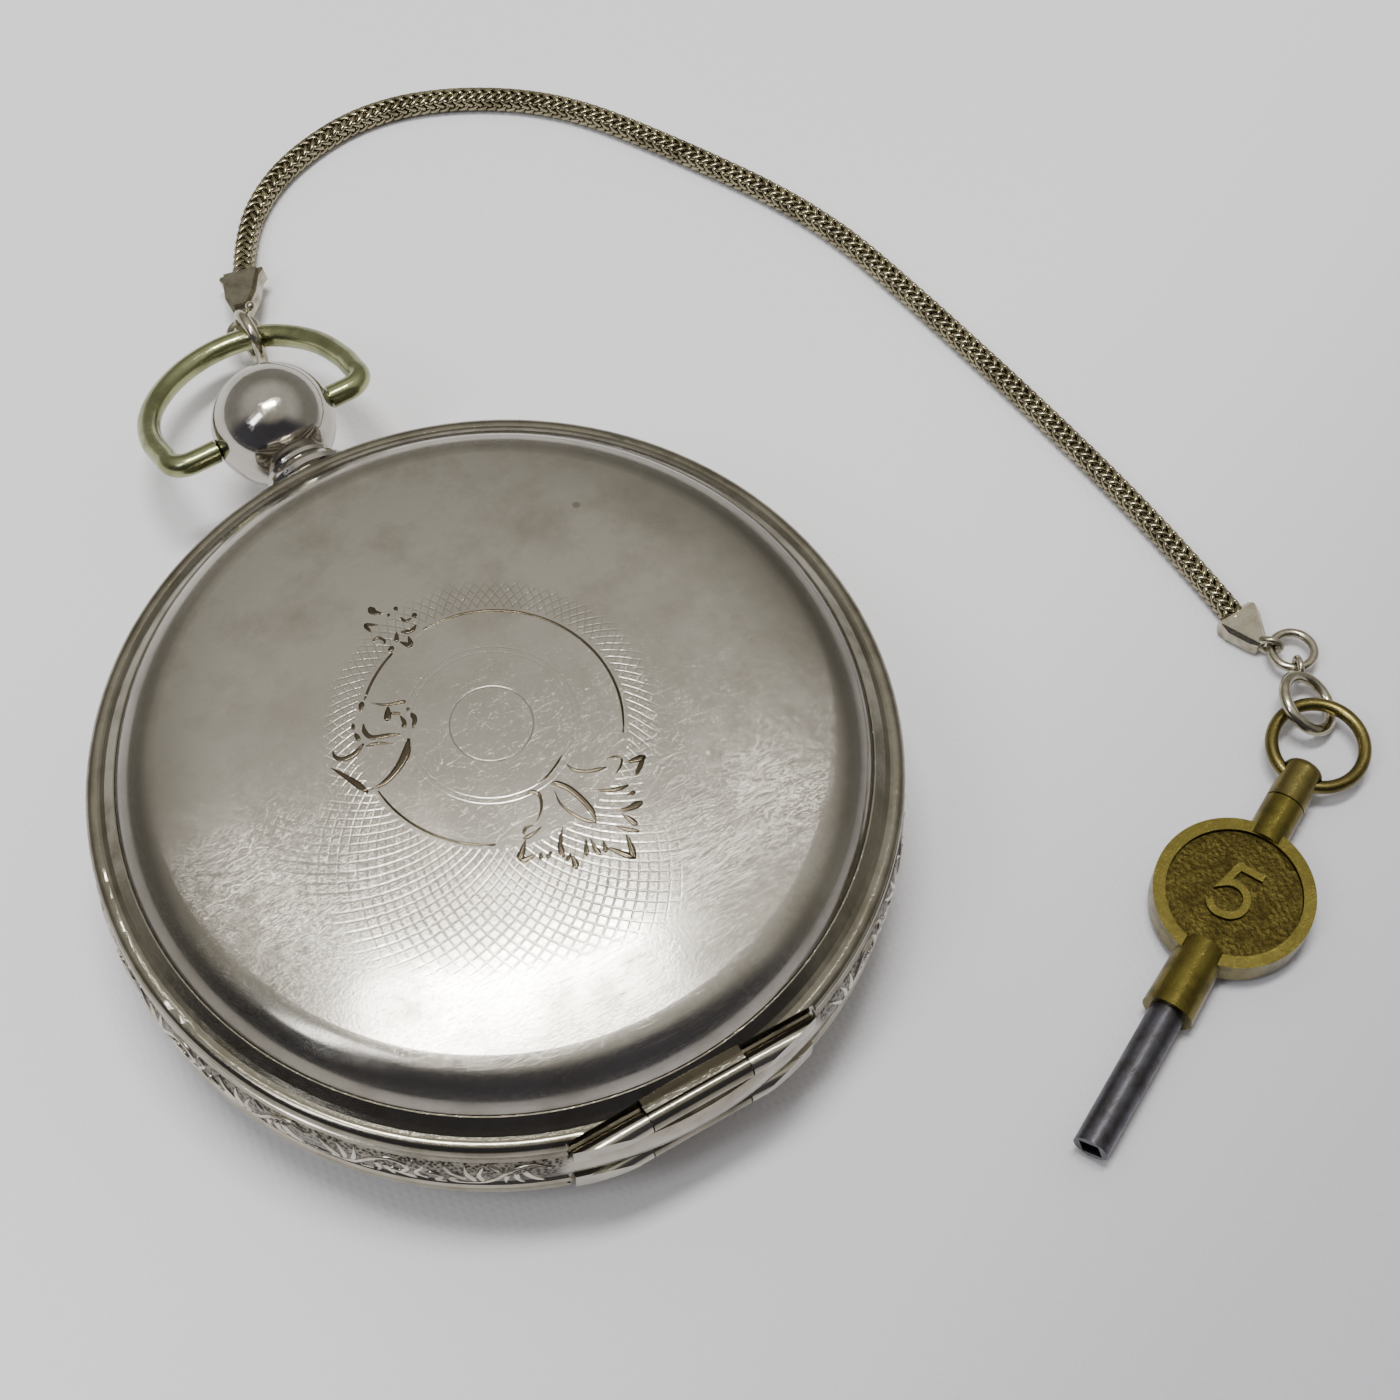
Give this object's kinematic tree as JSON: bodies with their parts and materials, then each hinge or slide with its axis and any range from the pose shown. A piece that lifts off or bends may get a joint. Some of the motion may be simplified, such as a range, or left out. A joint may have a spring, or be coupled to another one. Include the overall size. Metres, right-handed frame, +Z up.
{
  "type": "pocket watch",
  "caption": "Hunting-case pocket watch with engraved silver covers on hinges, bow, short woven fob chain and brass winding key; working train inside.",
  "frame": {"origin": "middle of the small worn flat on the back cover, where the watch rests", "axes": "+Z up through the dial side, +Y towards the pendant, +X towards three o'clock"},
  "size_m": [0.0878, 0.1063, 0.0194],
  "materials": {
    "case_silver": "worn polish",
    "cover_silver": "engraved, worn polish",
    "spring_steel": "tempered",
    "polished_steel": "polished",
    "blued_steel": "heat blued",
    "nickel_silver": "polished",
    "crystal_glass": "polished",
    "dial_enamel": "glossy",
    "gilt_brass": "frosted gilt",
    "wheel_brass": "polished",
    "chain_silver": "worn",
    "key_brass": "worn, dull",
    "key_steel": "dull"
  },
  "bodies": {
    "case": {"case_band": "case_silver", "pendant": "case_silver", "front_hinge_pin": "spring_steel", "back_hinge_pin": "spring_steel", "cuvette_hinge_pin": "spring_steel", "lift_spring": "spring_steel", "bezel": "case_silver", "crystal": "crystal_glass", "dial": "dial_enamel", "pillar_plate": "gilt_brass", "top_plate": "gilt_brass", "balance_cock": "gilt_brass", "cock_screw": "blued_steel", "click_screw": "blued_steel", "hairspring": "blued_steel", "minute_post": "polished_steel", "pillar_1": "gilt_brass", "pillar_2": "gilt_brass", "pillar_3": "gilt_brass", "pillar_4": "gilt_brass", "pillar_screw_1": "blued_steel", "pillar_screw_2": "blued_steel", "pillar_screw_3": "blued_steel", "pillar_screw_4": "blued_steel", "case_screw_1": "blued_steel", "case_screw_2": "blued_steel"},
    "push_piece": {"push_piece": "case_silver"},
    "lock_spring": {"lock_spring": "spring_steel"},
    "front_cover": {"front_cover_rim": "case_silver", "front_cover_dome": "cover_silver"},
    "back_cover": {"back_cover_rim": "case_silver", "back_cover_dome": "cover_silver"},
    "cuvette": {"cuvette": "case_silver"},
    "bow": {"bow": "nickel_silver"},
    "fob": {"clasp_ring": "chain_silver", "bow_clip": "chain_silver", "fob_chain": "chain_silver", "key_clip": "chain_silver", "jump_ring": "chain_silver", "spring_ring": "chain_silver", "key_ring": "key_brass"},
    "key_head": {"key_head": "key_brass"},
    "key": {"key_body": "key_brass", "key_pipe": "key_steel"},
    "centre": {"centre_wheel": "wheel_brass", "cannon_pinion": "polished_steel", "minute_hand": "blued_steel"},
    "third": {"third_wheel": "wheel_brass"},
    "fourth": {"fourth_wheel": "wheel_brass", "seconds_hand": "blued_steel"},
    "escape": {"escape_wheel": "wheel_brass"},
    "pallets": {"pallet_fork": "polished_steel"},
    "balance": {"balance_wheel": "wheel_brass"},
    "barrel": {"barrel": "gilt_brass", "mainspring": "blued_steel"},
    "winding": {"winding_arbor": "polished_steel"},
    "click": {"click": "polished_steel"},
    "minute_work": {"minute_wheel": "wheel_brass"},
    "hour_work": {"hour_wheel": "wheel_brass", "hour_hand": "blued_steel"}
  },
  "joints": [
    {"name": "front_cover_hinge", "type": "hinge", "parent": "case", "child": "front_cover", "pos_m": [0, -0.0269, 0.0123], "axis": [1, 0, 0], "range_deg": [0, 95]},
    {"name": "back_cover_hinge", "type": "hinge", "parent": "case", "child": "back_cover", "pos_m": [0, -0.0269, 0.0071], "axis": [-1, 0, 0], "range_deg": [0, 95]},
    {"name": "cuvette_hinge", "type": "hinge", "parent": "case", "child": "cuvette", "pos_m": [0, -0.02405, 0.0062], "axis": [-1, 0, 0], "range_deg": [0, 66.5]},
    {"name": "push_piece_slide", "type": "slide", "parent": "case", "child": "push_piece", "axis": [0, -1, 0], "range_m": [0, 0.0005], "stiffness_N_per_m": 600},
    {"name": "lock_spring_flex", "type": "hinge", "parent": "case", "child": "lock_spring", "pos_m": [0.02372, 0.00725, 0.0097], "axis": [0, 0, 1], "range_deg": [0, 1.25]},
    {"name": "bow_hinge", "type": "hinge", "parent": "case", "child": "bow", "pos_m": [0, 0.03465, 0.0097], "axis": [1, 0, 0], "range_deg": [-50, 114]},
    {"name": "fob_swing", "type": "hinge", "parent": "bow", "child": "fob", "pos_m": [0.003, 0.04584, 0.00472], "axis": [1, 0, 0], "range_deg": [-114, 50]},
    {"name": "key_head_pivot", "type": "hinge", "parent": "fob", "child": "key_head", "pos_m": [0.05145, -0.02551, 0.002], "axis": [-0.4695, 0.8829, 0], "range_deg": [0, 70]},
    {"name": "key_spin", "type": "hinge", "parent": "key_head", "child": "key", "pos_m": [0.05145, -0.02551, 0.002], "axis": [-0.8829, -0.4695, 0], "continuous": true},
    {"name": "centre_turn", "type": "hinge", "parent": "case", "child": "centre", "pos_m": [0, 0, 0.0097], "axis": [0, 0, -1], "continuous": true},
    {"name": "barrel_turn", "type": "hinge", "parent": "case", "child": "barrel", "pos_m": [0.00195, 0.01108, 0.0097], "axis": [0, 0, -1], "continuous": true},
    {"name": "third_turn", "type": "hinge", "parent": "case", "child": "third", "pos_m": [0.00611, -0.0066, 0.0097], "axis": [0, 0, -1], "continuous": true},
    {"name": "fourth_turn", "type": "hinge", "parent": "case", "child": "fourth", "pos_m": [0, -0.0112, 0.0097], "axis": [0, 0, -1], "continuous": true},
    {"name": "escape_turn", "type": "hinge", "parent": "case", "child": "escape", "pos_m": [-0.00553, -0.01268, 0.0097], "axis": [0, 0, -1], "continuous": true},
    {"name": "minute_work_turn", "type": "hinge", "parent": "case", "child": "minute_work", "pos_m": [-0.0026, 0.0015, 0.0097], "axis": [0, 0, -1], "continuous": true},
    {"name": "hour_turn", "type": "hinge", "parent": "case", "child": "hour_work", "pos_m": [0, 0, 0.0097], "axis": [0, 0, -1], "continuous": true},
    {"name": "pallet_rock", "type": "hinge", "parent": "case", "child": "pallets", "pos_m": [-0.00808, -0.00897, 0.0097], "axis": [0, 0, 1], "range_deg": [-4, 4]},
    {"name": "balance_swing", "type": "hinge", "parent": "case", "child": "balance", "pos_m": [-0.0115, -0.004, 0.0097], "axis": [0, 0, 1], "range_deg": [-220, 220], "stiffness_Nm_per_rad": 0.0000035},
    {"name": "winding_turn", "type": "hinge", "parent": "case", "child": "winding", "pos_m": [0.00195, 0.01108, 0.0097], "axis": [0, 0, -1], "continuous": true},
    {"name": "click_flex", "type": "hinge", "parent": "case", "child": "click", "pos_m": [0.00735, 0.00948, 0.0097], "axis": [0, 0, -1], "range_deg": [0, 10], "stiffness_Nm_per_rad": 0.0002}
  ],
  "couplings": [
    {"joint": "cuvette_hinge", "follows": "back_cover_hinge", "ratio": 0.7},
    {"joint": "lock_spring_flex", "follows": "push_piece_slide", "rad_per_m": 42.2},
    {"joint": "fob_swing", "follows": "bow_hinge", "ratio": -1},
    {"joint": "barrel_turn", "follows": "centre_turn", "ratio": -0.15385},
    {"joint": "third_turn", "follows": "centre_turn", "ratio": -8},
    {"joint": "fourth_turn", "follows": "centre_turn", "ratio": 60},
    {"joint": "escape_turn", "follows": "centre_turn", "ratio": -600},
    {"joint": "minute_work_turn", "follows": "centre_turn", "ratio": -0.33333},
    {"joint": "hour_turn", "follows": "centre_turn", "ratio": 0.083333}
  ]
}
